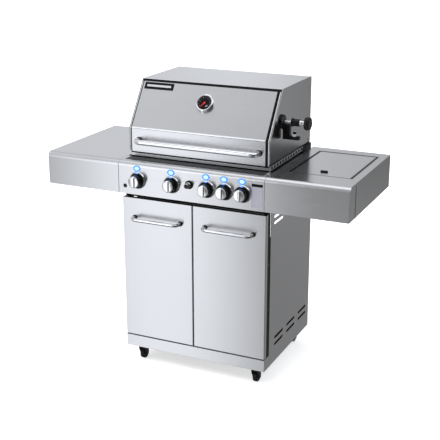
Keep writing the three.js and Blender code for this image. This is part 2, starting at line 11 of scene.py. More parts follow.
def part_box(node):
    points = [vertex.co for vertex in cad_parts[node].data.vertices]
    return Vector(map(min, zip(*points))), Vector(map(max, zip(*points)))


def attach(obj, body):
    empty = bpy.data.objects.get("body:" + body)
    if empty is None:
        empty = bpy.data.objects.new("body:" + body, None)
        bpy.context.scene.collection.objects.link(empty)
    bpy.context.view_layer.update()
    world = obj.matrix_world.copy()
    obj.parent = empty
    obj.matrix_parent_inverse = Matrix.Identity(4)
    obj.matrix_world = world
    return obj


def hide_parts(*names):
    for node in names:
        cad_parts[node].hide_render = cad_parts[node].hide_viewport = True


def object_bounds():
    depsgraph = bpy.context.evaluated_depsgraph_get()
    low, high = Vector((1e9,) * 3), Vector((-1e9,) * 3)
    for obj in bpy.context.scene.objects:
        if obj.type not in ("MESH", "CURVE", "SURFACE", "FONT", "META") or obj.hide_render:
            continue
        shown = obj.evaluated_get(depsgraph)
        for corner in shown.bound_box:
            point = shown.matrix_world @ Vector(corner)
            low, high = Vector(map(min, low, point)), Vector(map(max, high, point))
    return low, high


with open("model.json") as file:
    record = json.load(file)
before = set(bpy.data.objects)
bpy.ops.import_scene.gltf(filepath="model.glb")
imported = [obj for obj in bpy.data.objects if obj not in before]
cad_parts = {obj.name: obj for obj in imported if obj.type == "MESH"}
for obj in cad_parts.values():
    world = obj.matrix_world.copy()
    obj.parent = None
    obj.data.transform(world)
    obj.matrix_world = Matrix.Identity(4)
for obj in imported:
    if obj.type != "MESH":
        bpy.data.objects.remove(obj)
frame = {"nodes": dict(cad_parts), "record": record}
cad_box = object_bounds()

MM = 0.001
# Vertices closer than this are one, and faces that meet at less than this angle are one flat face
WELD_DISTANCE = 0.02 * MM
FLAT_ANGLE = math.radians(0.5)

MAIN_BURNERS = ["burner_1", "burner_2", "burner_3", "burner_4"]
KNOB_NAMES = [*MAIN_BURNERS, "side_burner"]

# Places that the frame's boxes don't give, in millimetres
PANEL_FRONT = -251
DOOR_FRONT = -225
SHELF_SKIN = 905
RIM_FRONT, RIM_HALF = -165, 306
LID_FRONT, LID_FOLD, LID_BOTTOM = -173, 1028, 929
LID_TOP_FRONT, LID_BACK, LID_TOP = -49, 284, 1209
LID_SHEET_HALF = 306.7
GAUGE_Z = 1136
SPIT_AXIS = (-52, 1084)

TOWARD_FRONT = (0, -1, 0)
TOWARD_RIGHT = (1, 0, 0)
UPWARD = (0, 0, 1)

SLOT_OF = {part["node"]: part["material_slot"] for part in frame["record"]["subparts"]}
BODY_OF = {
    node: body
    for body, nodes in frame["record"]["behaviour"]["bodies"].items()
    for node in nodes
}


# Materials


def add_node(tree, kind, inputs=None, **settings):
    """A new node. An input is a value, or another node's output socket to link from."""
    node = tree.nodes.new(kind)
    for name, value in settings.items():
        setattr(node, name, value)
    for name, value in (inputs or {}).items():
        if isinstance(value, bpy.types.NodeSocket):
            tree.links.new(value, node.inputs[name])
        else:
            node.inputs[name].default_value = value
    return node


def maths(tree, operation, first, second=0.0):
    node = add_node(tree, "ShaderNodeMath", {0: first, 1: second}, operation=operation)
    return node.outputs[0]


def spread(tree, value, low, high):
    """Maps a noise value to low..high, with the noise's middle half taking most of the range."""
    inputs = {"Value": value, "From Min": 0.3, "From Max": 0.7, "To Min": low, "To Max": high}
    return add_node(tree, "ShaderNodeMapRange", inputs).outputs[0]


def noise_of(tree, place, scale, detail):
    inputs = {"Vector": place, "Scale": scale, "Detail": detail}
    return add_node(tree, "ShaderNodeTexNoise", inputs).outputs[0]


def shade_between(tree, value, dark, light):
    inputs = {0: spread(tree, value, 0.0, 1.0), 6: (*dark, 1), 7: (*light, 1)}
    return add_node(tree, "ShaderNodeMix", inputs, data_type="RGBA").outputs[2]


def new_material(slot, **constants):
    material = bpy.data.materials.new(slot)
    material.use_nodes = True
    shader = material.node_tree.nodes["Principled BSDF"]
    for name, value in constants.items():
        shader.inputs[name.replace("_", " ")].default_value = value
    return material, material.node_tree, shader


def grained_metal(slot, dark, light, roughness, scale=1.0):
    """Brushed sheet. The grain runs along X, and along Y on faces that look sideways."""
    material, tree, shader = new_material(slot, Metallic=1.0, Anisotropic=0.8)
    place = add_node(tree, "ShaderNodeTexCoord")
    facing = add_node(tree, "ShaderNodeSeparateXYZ", {0: place.outputs["Normal"]})
    sideways = maths(tree, "GREATER_THAN", maths(tree, "ABSOLUTE", facing.outputs[0]), 0.7)
    lengthways = maths(tree, "SUBTRACT", 1.0, sideways)
    grain = add_node(tree, "ShaderNodeCombineXYZ", {0: lengthways, 1: sideways})
    turned = add_node(
        tree,
        "ShaderNodeVectorTransform",
        {0: grain.outputs[0]},
        vector_type="VECTOR",
        convert_from="OBJECT",
        convert_to="WORLD",
    )
    surface = add_node(tree, "ShaderNodeNewGeometry")
    sides = {0: surface.outputs["Normal"], 1: turned.outputs[0]}
    across = add_node(tree, "ShaderNodeVectorMath", sides, operation="CROSS_PRODUCT")
    tree.links.new(across.outputs[0], shader.inputs["Tangent"])

    along_step, across_step = 9.0, 900.0 * scale
    reach = across_step - along_step
    stretch = add_node(
        tree,
        "ShaderNodeCombineXYZ",
        {
            0: maths(tree, "ADD", maths(tree, "MULTIPLY", sideways, reach), along_step),
            1: maths(tree, "ADD", maths(tree, "MULTIPLY", lengthways, reach), along_step),
            2: across_step,
        },
    )
    factors = {0: place.outputs["Object"], 1: stretch.outputs[0]}
    brushed = add_node(tree, "ShaderNodeVectorMath", factors, operation="MULTIPLY")
    lines = noise_of(tree, brushed.outputs[0], 1.0, 3.0)
    clouds = noise_of(tree, place.outputs["Object"], 5.0, 2.0)
    lines_share, clouds_share = 0.75, 0.25
    mixed = maths(
        tree,
        "ADD",
        maths(tree, "MULTIPLY", lines, lines_share),
        maths(tree, "MULTIPLY", clouds, clouds_share),
    )
    tree.links.new(shade_between(tree, mixed, dark, light), shader.inputs["Base Color"])
    tree.links.new(spread(tree, mixed, *roughness), shader.inputs["Roughness"])
    relief = {"Strength": 0.02, "Distance": 0.2 * MM, "Height": lines}
    bump = add_node(tree, "ShaderNodeBump", relief)
    tree.links.new(bump.outputs[0], shader.inputs["Normal"])
    return material


def textured(slot, dark, light, roughness, scale, bump=0.1, depth=0.2, **constants):
    """A finish whose colour, roughness and relief follow one noise. scale is in cells per metre."""
    material, tree, shader = new_material(slot, **constants)
    place = add_node(tree, "ShaderNodeTexCoord")
    noise = noise_of(tree, place.outputs["Object"], scale, 4.0)
    tree.links.new(shade_between(tree, noise, dark, light), shader.inputs["Base Color"])
    tree.links.new(spread(tree, noise, *roughness), shader.inputs["Roughness"])
    relief = {"Strength": bump, "Distance": depth * MM, "Height": noise}
    tree.links.new(add_node(tree, "ShaderNodeBump", relief).outputs[0], shader.inputs["Normal"])
    return material


def grey(value, blue=1.0):
    return (value, value, value * blue)


MATERIALS = {
    "brushed_steel": grained_metal("brushed_steel", grey(0.63), grey(0.67), (0.2, 0.25)),
    "inner_steel": grained_metal("inner_steel", grey(0.34), grey(0.46), (0.32, 0.46), 0.5),
    "black_enamel": textured(
        "black_enamel", grey(0.003), grey(0.006), (0.25, 0.38), 260, Specular_IOR_Level=0.12
    ),
    "zinc": textured("zinc", grey(0.7), grey(0.82), (0.4, 0.55), 500, Metallic=0.6),
    "cast_iron": textured(
        "cast_iron", grey(0.02), grey(0.055), (0.55, 0.8), 900, bump=0.6, depth=0.5
    ),
    "chrome": textured(
        "chrome", grey(0.8, 1.01), grey(0.88, 1.01), (0.05, 0.11), 60, bump=0.02, Metallic=1.0
    ),
    "brass": textured(
        "brass", (0.5, 0.34, 0.14), (0.66, 0.48, 0.22), (0.25, 0.4), 220, Metallic=1.0
    ),
    "grey_button": textured("grey_button", grey(0.5), grey(0.58), (0.12, 0.2), 300, Metallic=1.0),
    "black_plastic": textured(
        "black_plastic",
        grey(0.002),
        grey(0.005),
        (0.12, 0.2),
        1400,
        bump=0.03,
        Specular_IOR_Level=0.25,
    ),
    "red_needle": textured(
        "red_needle", (0.62, 0.01, 0.008), (0.75, 0.02, 0.012), (0.3, 0.45), 500
    ),
    "caster_black": textured(
        "caster_black", grey(0.004), grey(0.009), (0.35, 0.5), 900, Specular_IOR_Level=0.25
    ),
    "led_lens": textured(
        "led_lens",
        (0.02, 0.06, 0.2),
        (0.03, 0.08, 0.3),
        (0.1, 0.2),
        400,
        Emission_Color=(0.06, 0.32, 1.0, 1),
        Emission_Strength=1.0,
    ),
    "led_core": textured(
        "led_core",
        (0.02, 0.06, 0.2),
        (0.03, 0.08, 0.3),
        (0.1, 0.2),
        400,
        Emission_Color=(0.6, 0.92, 1.0, 1),
        Emission_Strength=1.15,
    ),
    "dial_black": textured(
        "dial_black", grey(0.002), grey(0.004), (0.3, 0.4), 900, Specular_IOR_Level=0.15
    ),
    "plain_plate": textured(
        "plain_plate", (0.36, 0.35, 0.41), (0.44, 0.43, 0.49), (0.3, 0.4), 700, Metallic=0.4
    ),
}


# Mesh helpers. Points are in millimetres in the frame's own axes.


def add_piece(name, mesh, slot, body, replaces=(), round_edges=0.0, sharp=35):
    """Turns a bmesh in metres into a piece that rides on a body."""
    data = bpy.data.meshes.new(name)
    mesh.to_mesh(data)
    mesh.free()
    if "custom_normal" in data.attributes:
        data.attributes.remove(data.attributes["custom_normal"])
    data.shade_smooth()
    data.set_sharp_from_angle(angle=math.radians(sharp))
    data.materials.clear()
    data.materials.append(MATERIALS[slot])
    piece = bpy.data.objects.new(name, data)
    bpy.context.scene.collection.objects.link(piece)
    if round_edges:
        bevel = piece.modifiers.new("rounded edges", "BEVEL")
        bevel.width = round_edges * MM
        bevel.segments = 2
        bevel.limit_method = "ANGLE"
        bevel.angle_limit = math.radians(sharp)
        bevel.use_clamp_overlap = False
    flat_faces = piece.modifiers.new("flat faces", "WEIGHTED_NORMAL")
    flat_faces.keep_sharp = True
    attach(piece, body)
    if replaces:
        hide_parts(*replaces)


def new_mesh(points, faces):
    mesh = bmesh.new()
    vertices = [mesh.verts.new(Vector(point) * MM) for point in points]
    for face in faces:
        mesh.faces.new([vertices[i] for i in face])
    bmesh.ops.recalc_face_normals(mesh, faces=mesh.faces)
    return mesh


def refined(node, round_edges=0.6, fold=0.0, is_fold=None, drop=None):
    """A CAD node's own shape with clean faces and rounded edges, which then stands for the node.

    Edges that pass is_fold are rounded by fold first. Faces whose centre passes drop are left out.
    """
    mesh = bmesh.new()
    mesh.from_mesh(frame["nodes"][node].data)
    bmesh.ops.remove_doubles(mesh, verts=mesh.verts, dist=WELD_DISTANCE)
    if drop:
        doomed = [face for face in mesh.faces if drop(face.calc_center_median() / MM)]
        bmesh.ops.delete(mesh, geom=doomed, context="FACES")
    bmesh.ops.dissolve_limit(mesh, angle_limit=FLAT_ANGLE, verts=mesh.verts, edges=mesh.edges)
    if fold:
        edges = [edge for edge in mesh.edges if is_fold(edge)]
        bmesh.ops.bevel(
            mesh, geom=edges, offset=fold * MM, segments=5, profile=0.5, affect="EDGES"
        )
    name = f"{node}_finished"
    add_piece(name, mesh, SLOT_OF[node], BODY_OF[node], [node], round_edges, sharp=30)


def lathe(profile, centre, direction, sides=40):
    """A turned shape. profile holds (radius, height) pairs, with the height along direction."""
    turn = Vector((0, 0, 1)).rotation_difference(Vector(direction)).to_matrix()
    points, faces, rings = [], [], []
    for radius, height in profile:
        count = 1 if radius < 1e-6 else sides
        rings.append(range(len(points), len(points) + count))
        for i in range(count):
            angle = 2 * math.pi * i / sides
            local = Vector((radius * math.cos(angle), radius * math.sin(angle), height))
            points.append(turn @ local + Vector(centre))
    for low, high in zip(rings, rings[1:]):
        for i in range(sides):
            j = (i + 1) % sides
            quad = [low[i % len(low)], low[j % len(low)], high[j % len(high)], high[i % len(high)]]
            # A quad beside a ring that is a single point holds that point twice
            faces.append(list(dict.fromkeys(quad)))
    return new_mesh(points, [face for face in faces if len(face) > 2])


def soften(corners, radius, steps=6):
    """A polyline with each inner corner replaced by an arc of the given radius."""
    corners = [Vector(corner) for corner in corners]
    path = [corners[0]]
    for before, corner, after in zip(corners, corners[1:], corners[2:]):
        arriving, leaving = (before - corner).normalized(), (after - corner).normalized()
        half = arriving.angle(leaving) / 2
        start = corner + arriving * (radius / math.tan(half))
        centre = corner + (arriving + leaving).normalized() * (radius / math.sin(half))
        spoke = start - centre
        axis = arriving.cross(leaving)
        for i in range(steps + 1):
            turn = Matrix.Rotation(-(math.pi - 2 * half) * i / steps, 3, axis)
            path.append(centre + turn @ spoke)
    return [*path, corners[-1]]


def tube(path, radius, sides=20):
    """A round bar with closed ends along a path."""
    path = [Vector(point) for point in path]
    points, faces = [], []
    across = None
    for i, point in enumerate(path):
        ahead = (path[min(i + 1, len(path) - 1)] - path[max(i - 1, 0)]).normalized()
        if across is None:
            across = ahead.orthogonal().normalized()
        across = (across - ahead * across.dot(ahead)).normalized()
        other = ahead.cross(across)
        for k in range(sides):
            angle = 2 * math.pi * k / sides
            points.append(point + (across * math.cos(angle) + other * math.sin(angle)) * radius)
    for i in range(len(path) - 1):
        for k in range(sides):
            j = (k + 1) % sides
            faces.append([i * sides + k, i * sides + j, (i + 1) * sides + j, (i + 1) * sides + k])
    last = (len(path) - 1) * sides
    faces.append(list(range(sides)))
    faces.append([last + k for k in range(sides)])
    return new_mesh(points, faces)


def soft_profile(corners, radius):
    """The (y, z) corners of a bent sheet's path, with the inner ones rounded."""
    return [point.xy for point in soften([(y, z, 0) for y, z in corners], radius)]


def folded_sheet(path, depth, thickness, x0, x1):
    """A bent sheet. path holds (y, z) points of the outer face; the sheet lies depth below it."""
    loop = []
    for offset in (depth, depth + thickness):
        side = []
        for i, point in enumerate(path):
            ahead = (path[min(i + 1, len(path) - 1)] - path[max(i - 1, 0)]).normalized()
            inward = Vector((ahead.y, -ahead.x))
            side.append(point + inward * offset)
        loop += side if offset == depth else side[::-1]
    count = len(loop)
    points = [(x, point.x, point.y) for x in (x0, x1) for point in loop]
    faces = [[i, (i + 1) % count, (i + 1) % count + count, i + count] for i in range(count)]
    half = len(path)
    for start in (0, count):
        for i in range(half - 1):
            strip = [i, i + 1, count - 2 - i, count - 1 - i]
            faces.append([start + k for k in strip])
    return new_mesh(points, faces)


def block(x0, x1, y0, y1, z0, z1):
    points = [(x, y, z) for x in (x0, x1) for y in (y0, y1) for z in (z0, z1)]
    faces = [(0, 1, 3, 2), (4, 6, 7, 5), (0, 4, 5, 1), (2, 3, 7, 6), (0, 2, 6, 4), (1, 5, 7, 3)]
    return new_mesh(points, faces)


def both_sides(x0, x1, *ranges):
    """The same block on the left and on the right. x0 and x1 are distances from the middle."""
    return [block(-x1, -x0, *ranges), block(x0, x1, *ranges)]


def merged(meshes):
    """One bmesh out of several."""
    whole = bmesh.new()
    for mesh in meshes:
        data = bpy.data.meshes.new("part")
        mesh.to_mesh(data)
        mesh.free()
        whole.from_mesh(data)
        bpy.data.meshes.remove(data)
    return whole


def moved(mesh, matrix):
    bmesh.ops.transform(mesh, matrix=matrix, verts=mesh.verts)
    return mesh


def shift(x, y, z):
    return Matrix.Translation(Vector((x, y, z)) * MM)


def node_box(node):
    low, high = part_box(node)
    return low / MM, high / MM


def node_centre(node):
    low, high = node_box(node)
    return (low + high) / 2


# Cabinet


def is_door_corner(edge):
    """Whether an edge is one of the long upright ones of a door's outer face."""
    run = (edge.verts[0].co - edge.verts[1].co).normalized()
    is_upright = abs(run.z) > 0.99 and edge.calc_length() > 100 * MM
    return is_upright and all(abs(vertex.co.y / MM - DOOR_FRONT) < 0.01 for vertex in edge.verts)


def post_screws():
    """Screw heads on the door posts, in the gap between the doors and the side panels."""
    dome = [(3.2, 0), (3.2, 0.4), (2.4, 1.0), (0, 1.3)]
    x, y, heights = 317.7, -188, (339, 532)
    return [
        lathe(dome, (side * x, y, z), (side, 0, 0), 16) for z in heights for side in (-1, 1)
    ]


def vent_shade_boxes():
    """Painted shade behind the vents: shallow black boxes inside the side panels, one behind each
    pair of lower vent slots.
    """
    centres, half = (-67.5, 71.5, 210.5), 58
    heights = (135, 197)
    pieces = []
    for y in centres:
        pieces += both_sides(311, 312, y - half, y + half, *heights)
        for end in (y - half, y + half - 1):
            pieces += both_sides(311.9, 318.2, end, end + 1, *heights)
    return pieces


def make_cabinet():
    refined("base_panel")
    refined("back_panel", 0.5)
    refined("lower_front_rail", 0.8)
    refined("cabinet_frame", 0.8)
    for side in ("left", "right"):
        refined(f"{side}_side_panel", 0.5)
        refined(f"{side}_door", 0.7, fold=3.0, is_fold=is_door_corner)
    refined("drip_tray", 0.5)
    add_piece("post_screws", merged(post_screws()), "chrome", "root")
    # The black boxes behind the vent slots are painted shade.
    add_piece("vent_shade_boxes", merged(vent_shade_boxes()), "dial_black", "root")
    # A black strip along the rail's top edge under the doors: painted shade of the gap below the
    # doors.
    low, high = node_box("lower_front_rail")
    shade_strip = block(-318.5, 318.5, low.y - 0.25, low.y + 1, high.z - 3.2, high.z - 0.2)
    add_piece("rail_top_shade_line", shade_strip, "dial_black", "root")


# Shelves and side burner


def add_side_lid_hinge(low, high):
    """Knuckles along the lid's right edge, which belong to the shelf and to the lid by turns."""
    knuckles = {"root": [], "side_burner_lid": []}
    x, z = high.x + 0.6, SHELF_SKIN + 0.4
    count, margin, gap = 12, 12, 0.3
    start = low.y + margin
    step = (high.y - margin - start) / count
    for i in range(count):
        body = "root" if i % 2 else "side_burner_lid"
        y0, y1 = start + i * step + gap, start + (i + 1) * step - gap
        knuckles[body].append(tube([(x, y0, z), (x, y1, z)], 2.0, 12))
    for body, meshes in knuckles.items():
        add_piece(f"side_lid_hinge_{body}", merged(meshes), "inner_steel", body)


def side_lid_seam_shade(low, high):
    """Painted shade of the seam: a dark strip that lines the seam around the lid and laps over the
    shelf beside it.
    """
    seam, side_lap, end_lap, clearance = 2.4, 7.5, 3, 0.5
    lining = seam - 0.1
    bottom, top, shelf_face = SHELF_SKIN - 9, SHELF_SKIN + 1.3, SHELF_SKIN + 0.9
    left, right = low.x - side_lap, high.x + seam + side_lap
    near, far = low.y - seam, high.y + seam
    inner_left, inner_right = low.x - clearance, high.x + clearance
    inner_near, inner_far = low.y - clearance, high.y + clearance
    return [
        block(left, inner_left, near, far, bottom + 10, top),
        block(low.x - lining, inner_left, low.y - lining, high.y + lining, bottom, bottom + 10.2),
        block(inner_left, inner_right, low.y - lining, inner_near, bottom, SHELF_SKIN),
        block(inner_left, inner_right, inner_far, high.y + lining, bottom, SHELF_SKIN),
        block(high.x + seam + 0.1, right, near, far, shelf_face, top),
        block(left, right, near - end_lap, near, shelf_face, top),
        block(left, right, far, far + end_lap, shelf_face, top),
    ]


def make_shelves():
    refined("left_shelf", 0.9)
    refined("right_shelf", 0.9)
    refined("side_burner", 0.8)
    refined("side_burner_grate", 1.0)
    refined("side_burner_lid", 1.6, drop=lambda centre: centre.z > SHELF_SKIN + 0.1)
    low, high = node_box("side_burner_lid")
    pull = block(483.5, 512.5, -80.5, -69.5, SHELF_SKIN - 1, high.z - 0.3)
    add_piece("side_burner_pull", pull, "black_plastic", "side_burner_lid", round_edges=2.5)
    add_side_lid_hinge(low, high)
    # The dark strip around the side burner lid is painted shade of its seam.
    add_piece("side_lid_seam_shade", merged(side_lid_seam_shade(low, high)), "dial_black", "root")
    # Dark strips on the shelf ends are painted shade of a fold in the end sheet.
    end, shade_line_y, shade_line_half = cad_box[1][0] / MM, -180, 3.5
    fold_shade_lines = both_sides(end - 0.5, end + 0.1, shade_line_y - shade_line_half, shade_line_y + shade_line_half, 771, 896)
    add_piece("shelf_end_fold_shade_lines", merged(fold_shade_lines), "dial_black", "root")


# Firebox


def rim_side_trim():
    """Slotted strips on the rim's two sides, under the hood's ends."""
    inner, outer, back = RIM_HALF - 0.2, RIM_HALF + 0.6, 234
    slot_count, pitch, slot_length = 13, 30, 17
    pieces = both_sides(inner, outer, RIM_FRONT, back, 907, 910)
    pieces += both_sides(inner, outer, RIM_FRONT, back, 922.5, 925.5)
    slots = [RIM_FRONT + 16 + pitch * i for i in range(slot_count)]
    bars = zip([RIM_FRONT, *[y + slot_length for y in slots]], [*slots, back])
    for start, stop in bars:
        pieces += both_sides(inner, outer, start, stop, 909.8, 922.7)
    return pieces


def rack_wires():
    """Two long wires, and short ones across them."""
    low, high = node_box("warming_rack")
    radius = (high.z - low.z) / 2
    middle = (low.z + high.z) / 2
    near, far = low.y + radius, high.y - radius
    wires = [tube([(low.x, y, middle), (high.x, y, middle)], radius - 0.1, 12) for y in (near, far)]
    pitch, margin, thin = 20, 4, 1.6
    length = high.x - low.x - 2 * margin
    gaps = int(length // pitch)
    z = high.z - thin - 0.1
    for i in range(gaps + 1):
        x = low.x + margin + i * length / gaps
        wires.append(tube([(x, near, z), (x, far, z)], thin, 8))
    return wires


def make_firebox():
    refined("firebox", 0.8)
    front_strip = block(-RIM_HALF, RIM_HALF, RIM_FRONT - 0.7, RIM_FRONT + 0.2, 910, 921)
    add_piece("firebox_rim_trim", front_strip, "brushed_steel", "root")
    add_piece("firebox_side_trim", merged(rim_side_trim()), "zinc", "root")
    brackets = both_sides(305.8, 310.6, 200, 231, 868, 905)
    brackets += both_sides(310.4, 311.6, 200, 295.5, 868, 926)
    add_piece("firebox_rear_brackets", merged(brackets), "dial_black", "root")
    refined("gas_manifold", 0.6)
    refined("flame_tamers", 0.6)
    for node in MAIN_BURNERS:
        refined(node, 0.5)
    for side in ("left", "right"):
        refined(f"{side}_grate", 1.2)
    add_piece("warming_rack_wires", merged(rack_wires()), "chrome", "root", ["warming_rack"])


# Handles


def bar_handle(node, foot, bend, radius, washer):
    """A bent bar on two round washers, in the place of a CAD handle. foot is the face behind it."""
    low, high = node_box(node)
    z = (low.z + high.z) / 2
    cad_radius = (high.z - low.z) / 2
    bar, x0, x1 = low.y + cad_radius, low.x + cad_radius, high.x - cad_radius
    corners = [(x0, foot, z), (x0, bar, z), (x1, bar, z), (x1, foot, z)]
    bar_mesh = tube(soften(corners, bend, 10), radius, 24)
    add_piece(f"{node}_bar", bar_mesh, "chrome", BODY_OF[node], [node])
    rim = [(radius - 1, 0), (washer, 0), (washer, 3), (washer - 1.5, 4.5), (radius - 1, 4.5)]
    washers = [lathe([*rim, rim[0]], (x, foot, z), TOWARD_FRONT, 32) for x in (x0, x1)]
    add_piece(f"{node}_washers", merged(washers), "black_plastic", BODY_OF[node])


def make_handles():
    for side in ("left", "right"):
        bar_handle(f"{side}_door_handle", DOOR_FRONT - 0.3, 20, 7.5, 10.5)
    bar_handle("lid_handle", LID_FRONT - 0.3, 24, 10.5, 13)


# Control panel


def on_panel(node):
    """The place on the panel's face in front of which a node's middle stands."""
    centre = node_centre(node)
    return (centre.x, PANEL_FRONT, centre.z)


def make_buttons():
    place = on_panel("igniter_button")
    ring = [(12.8, 0), (17.5, 0), (17.5, 3), (16.5, 5), (12.8, 5)]
    ring_mesh = lathe([*ring, ring[0]], place, TOWARD_FRONT)
    add_piece("igniter_ring", ring_mesh, "black_plastic", "root")
    barrel = [(0, -18), (12, -18), (12, 10), (10, 12), (10, 26.5), (9.2, 27.5), (0, 27.5)]
    barrel_mesh = lathe(barrel, place, TOWARD_FRONT)
    add_piece("igniter_barrel", barrel_mesh, "grey_button", "igniter_button", ["igniter_button"])
    face = [(0, 27), (8.8, 27), (8.8, 28.2), (8, 29), (0, 29)]
    face_mesh = lathe(face, place, TOWARD_FRONT)
    add_piece("igniter_face", face_mesh, "black_plastic", "igniter_button")

    place = on_panel("light_button")
    low, high = node_box("light_button")
    radius = (high.z - low.z) / 2
    cap = [(0, -11), (radius, -11), (radius, 2), (radius - 1, 3.2), (0, 3.4)]
    cap_mesh = lathe(cap, place, TOWARD_FRONT, 24)
    add_piece("light_button_cap", cap_mesh, "black_plastic", "light_button", ["light_button"])


def make_panel():
    refined("control_panel", 0.9)
    for name in KNOB_NAMES:
        make_knob(name)
        make_bezel(name)
        make_light(name)
    make_buttons()
    top = node_box("control_panel")[1].z
    # A black strip over the panel's top behind its nose: painted reflection of the dark gap under
    # the hood.
    shade_strip = block(-305, 305, -221, -168.5, top - 0.5, top + 0.5)
    add_piece("panel_top_painted_shade", shade_strip, "dial_black", "root", round_edges=0.2)
    label = (268, 314)
    plate = block(*label, PANEL_FRONT - 1.0, PANEL_FRONT + 0.5, 782, 876)
    add_piece("blank_label", plate, "plain_plate", "root", round_edges=0.4)
    header = block(*label, PANEL_FRONT - 1.2, PANEL_FRONT + 0.5, 866, 877)
    add_piece("blank_label_header", header, "dial_black", "root", round_edges=0.3)


def make_knob(name):
    """A black skirt with a bright cap, and a grip bar across the cap with a dark mark on it."""
    node = f"{name}_knob"
    centre = node_centre(node)
    low, high = node_box(node)
    front, back = low.y, high.y
    at_back = (centre.x, back, centre.z)
    face = back - front - 6
    skirt = [(4.4, 0), (23.5, 0), (25, 1), (25, 3.5), (24.2, 5)]
    skirt += [(23.8, face - 2.4), (0, face - 2.4)]
    skirt_mesh = lathe(skirt, at_back, TOWARD_FRONT, 48)
    add_piece(f"{node}_skirt", skirt_mesh, "black_plastic", node, [node])
    cap = [(0, face - 2.5), (23.7, face - 2.5), (23.7, face - 1), (22.6, face)]
    cap += [(20, face + 0.5), (0, face + 0.8)]
    add_piece(f"{node}_cap", lathe(cap, at_back, TOWARD_FRONT, 48), "chrome", node)
    x, z = centre.x, centre.z
    grip = block(x - 6, x + 6, front, front + 7, z - 21, z + 21)
    add_piece(f"{node}_grip", grip, "chrome", node, round_edges=2.4)
    mark = block(x - 0.8, x + 0.8, front + 0.05, front + 3, z + 14, z + 19.5)
    add_piece(f"{node}_mark", mark, "dial_black", node)


def make_bezel(name):
    """A bright rim around a black dish, and the valve stem that comes through the dish."""
    place = on_panel(f"{name}_knob")
    rim = [(30.5, 0), (36, 0), (36, 3.5), (35.2, 5.8), (33.6, 7.6), (31.8, 8.2), (30.5, 7.6)]
    rim_mesh = lathe([*rim, rim[0]], place, TOWARD_FRONT, 48)
    add_piece(f"{name}_bezel_rim", rim_mesh, "chrome", "root", [f"{name}_bezel"])
    dish = [(8, 0.5), (30.4, 0.5), (30.4, 7), (28.5, 8.6), (26, 9.6), (10, 9.6), (8, 8.6)]
    dish_mesh = lathe([*dish, dish[0]], place, TOWARD_FRONT, 48)
    add_piece(f"{name}_bezel_dish", dish_mesh, "black_plastic", "root")
    refined(f"{name}_valve_stem", 0.3)


def make_light(name):
    """An oval lens over the knob, and a glowing bar between the lens and the knob: painted light
    for the LED's blue glow.
    """
    x, y, z = on_panel(f"{name}_knob")
    glow_z, lens_z = z + 29.5, z + 48
    # The glowing bar under the lens is painted light, the LED's blue glow toward the knob.
    glow_patch = block(x - 9, x + 5, y - 9.9, y - 8, glow_z - 1.6, glow_z + 1.6)
    add_piece(f"{name}_led_glow_patch", glow_patch, "led_lens", "root", round_edges=0.8)
    oval = shift(x - 3, y, lens_z) @ Matrix.Diagonal((1.35, 1, 1, 1))
    lenses = {
        "surround": ("led_lens", [(12.5, -0.5), (12.5, 0.3), (11, 1.1), (0, 1.5)]),
        "core": ("led_core", [(7.5, 1), (7.5, 1.7), (6.4, 2.6), (3.5, 3.2), (0, 3.3)]),
    }
    for part, (slot, profile) in lenses.items():
        lens = moved(lathe(profile, (0, 0, 0), TOWARD_FRONT, 32), oval)
        add_piece(f"{name}_light_{part}", lens, slot, "root")


# Hood


def slope_matrix(x, along):
    """Axes on the hood's slope: X across, Y up the slope, Z outward. along runs from 0 to 1."""
    run = Vector((0, LID_TOP_FRONT - LID_FRONT, LID_TOP - LID_FOLD))
    up = run.normalized()
    outward = Vector((1, 0, 0)).cross(up)
    place = Vector((x, LID_FRONT, LID_FOLD)) + run * along
    axes = Matrix((Vector((1, 0, 0)), up, outward)).transposed().to_4x4()
    return Matrix.Translation(place * MM) @ axes


